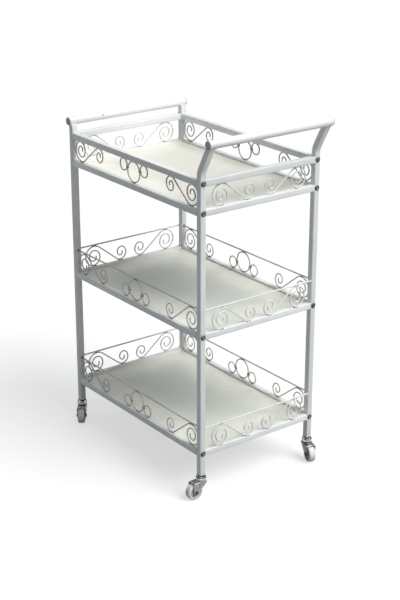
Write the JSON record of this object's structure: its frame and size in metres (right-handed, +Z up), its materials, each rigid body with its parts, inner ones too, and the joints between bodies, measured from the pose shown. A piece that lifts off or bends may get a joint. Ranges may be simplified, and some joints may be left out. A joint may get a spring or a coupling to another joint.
{
  "type": "rolling salon trolley",
  "caption": "Tall rolling trolley with a welded square-tube frame, tray shelves in wire scroll galleries, a raised push bar and swivel casters.",
  "frame": {"origin": "on the floor, under the middle of the whole trolley's bounding box", "axes": "+Z up, +X towards the end with the raised push bar, +Y towards the side named right"},
  "size_m": [0.575, 0.4072, 0.866],
  "materials": {
    "frame_paint": "smooth glossy white powder coat on steel tube",
    "wire_paint": "white powder coat on steel wire",
    "tray_paint": "satin off-white powder coat on sheet steel",
    "cap_plastic": "moulded white plastic",
    "bolt_black": "black oxide with a worn crown",
    "black_plastic": "moulded black plastic",
    "bright_zinc": "bright zinc plate",
    "black_steel": "black oxide",
    "bearing_steel": "polished bearing steel",
    "fork_zinc": "dull zinc plate on pressed sheet",
    "wheel_rubber": "grey moulded tread and hub",
    "axle_steel": "zinc plated rivet"
  },
  "bodies": {
    "trolley": {"leg_push_left": "frame_paint", "leg_push_right": "frame_paint", "leg_far_left": "frame_paint", "leg_far_right": "frame_paint", "push_bar": "frame_paint", "far_bar": "frame_paint", "bar_end_plugs": "cap_plastic", "top_rail_left": "frame_paint", "top_rail_right": "frame_paint", "top_rail_push": "frame_paint", "top_rail_far": "frame_paint", "tray_rail_left": "frame_paint", "tray_rail_right": "frame_paint", "tray_rail_push": "frame_paint", "tray_rail_far": "frame_paint", "middle_rail_left": "frame_paint", "middle_rail_right": "frame_paint", "middle_rail_push": "frame_paint", "middle_rail_far": "frame_paint", "bottom_rail_left": "frame_paint", "bottom_rail_right": "frame_paint", "bottom_rail_push": "frame_paint", "bottom_rail_far": "frame_paint", "top_gallery_left": "wire_paint", "top_gallery_right": "wire_paint", "top_gallery_push": "wire_paint", "top_gallery_far": "wire_paint", "middle_gallery_left": "wire_paint", "middle_gallery_right": "wire_paint", "middle_gallery_push": "wire_paint", "middle_gallery_far": "wire_paint", "bottom_gallery_left": "wire_paint", "bottom_gallery_right": "wire_paint", "bottom_gallery_push": "wire_paint", "bottom_gallery_far": "wire_paint", "top_tray": "tray_paint", "middle_tray": "tray_paint", "bottom_tray": "tray_paint", "frame_bolts": "bolt_black", "rail_plugs": "black_plastic", "wire_grommets": "black_plastic", "leg_plugs": "black_plastic", "caster_stems": "bright_zinc", "stem_nuts": "black_steel", "swivel_heads": "bright_zinc", "swivel_balls": "bearing_steel"},
    "caster_push_left": {"fork_push_left": "fork_zinc", "axle_push_left": "axle_steel"},
    "wheel_push_left_body": {"wheel_push_left": "wheel_rubber"},
    "caster_push_right": {"fork_push_right": "fork_zinc", "axle_push_right": "axle_steel"},
    "wheel_push_right_body": {"wheel_push_right": "wheel_rubber"},
    "caster_far_left": {"fork_far_left": "fork_zinc", "axle_far_left": "axle_steel"},
    "wheel_far_left_body": {"wheel_far_left": "wheel_rubber"},
    "caster_far_right": {"fork_far_right": "fork_zinc", "axle_far_right": "axle_steel"},
    "wheel_far_right_body": {"wheel_far_right": "wheel_rubber"}
  },
  "joints": [
    {"name": "swivel_push_left", "type": "hinge", "parent": "trolley", "child": "caster_push_left", "pos_m": [0.23975, -0.1635, 0.0435], "axis": [0, 0, 1], "continuous": true},
    {"name": "swivel_push_right", "type": "hinge", "parent": "trolley", "child": "caster_push_right", "pos_m": [0.23975, 0.1635, 0.0435], "axis": [0, 0, 1], "continuous": true},
    {"name": "swivel_far_left", "type": "hinge", "parent": "trolley", "child": "caster_far_left", "pos_m": [-0.27325, -0.1635, 0.0435], "axis": [0, 0, 1], "continuous": true},
    {"name": "swivel_far_right", "type": "hinge", "parent": "trolley", "child": "caster_far_right", "pos_m": [-0.27325, 0.1635, 0.0435], "axis": [0, 0, 1], "continuous": true},
    {"name": "spin_push_left", "type": "hinge", "parent": "caster_push_left", "child": "wheel_push_left_body", "pos_m": [0.2394, -0.1835, 0.02], "axis": [0.9998, -0.0175, 0], "continuous": true},
    {"name": "spin_push_right", "type": "hinge", "parent": "caster_push_right", "child": "wheel_push_right_body", "pos_m": [0.25888, 0.15765, 0.02], "axis": [0.2924, 0.9563, 0], "continuous": true},
    {"name": "spin_far_left", "type": "hinge", "parent": "caster_far_left", "child": "wheel_far_left_body", "pos_m": [-0.25771, -0.17609, 0.02], "axis": [0.6293, 0.7771, 0], "continuous": true},
    {"name": "spin_far_right", "type": "hinge", "parent": "caster_far_right", "child": "wheel_far_right_body", "pos_m": [-0.2736, 0.1835, 0.02], "axis": [-0.9998, -0.0175, 0], "continuous": true}
  ]
}
